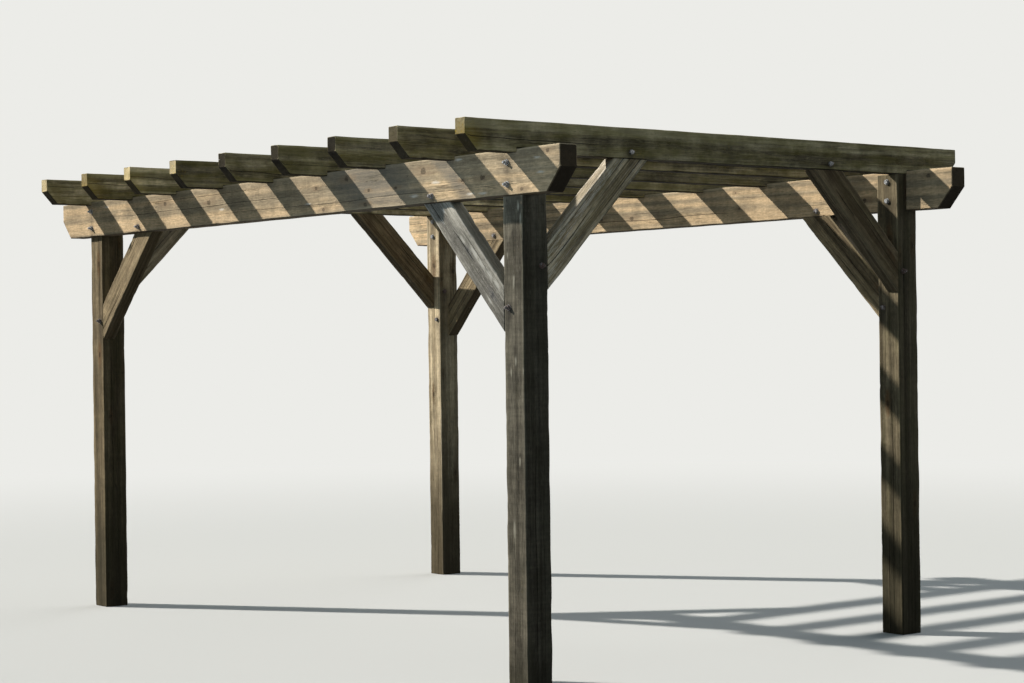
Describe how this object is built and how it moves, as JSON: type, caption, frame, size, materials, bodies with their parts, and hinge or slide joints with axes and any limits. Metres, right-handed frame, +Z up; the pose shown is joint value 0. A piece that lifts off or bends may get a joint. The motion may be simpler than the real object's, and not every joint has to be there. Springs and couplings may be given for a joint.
{
  "type": "timber pergola",
  "caption": "Open timber pergola: square posts with knee braces carry clipped beams and notched rafters over a walk-through space.",
  "frame": {"origin": "on the ground, in the middle of the four posts", "axes": "+X along the beams to the right end, +Y from the front beam to the back beam, +Z up"},
  "size_m": [4.98, 3.47, 2.647],
  "materials": {
    "post_timber": "weathered bluish grey sawn softwood",
    "beam_timber": "weathered tan and grey sawn softwood",
    "rafter_timber": "weathered olive brown sawn softwood with algae",
    "brace_timber": "weathered grey brown sawn softwood"
  },
  "bodies": {
    "root": {"post_front_right": "post_timber", "post_front_left": "post_timber", "post_back_right": "post_timber", "post_back_left": "post_timber", "beam_front": "beam_timber", "beam_back": "beam_timber", "rafter_1": "rafter_timber", "rafter_2": "rafter_timber", "rafter_3": "rafter_timber", "rafter_4": "rafter_timber", "rafter_5": "rafter_timber", "rafter_6": "rafter_timber", "rafter_7": "rafter_timber", "rafter_8": "rafter_timber", "rafter_9": "rafter_timber", "beam_brace_front_right": "brace_timber", "beam_brace_front_left": "brace_timber", "beam_brace_back_right": "brace_timber", "beam_brace_back_left": "brace_timber", "rafter_brace_front_right": "brace_timber", "rafter_brace_front_left": "brace_timber", "rafter_brace_back_right": "brace_timber", "rafter_brace_back_left": "brace_timber"}
  },
  "joints": []
}
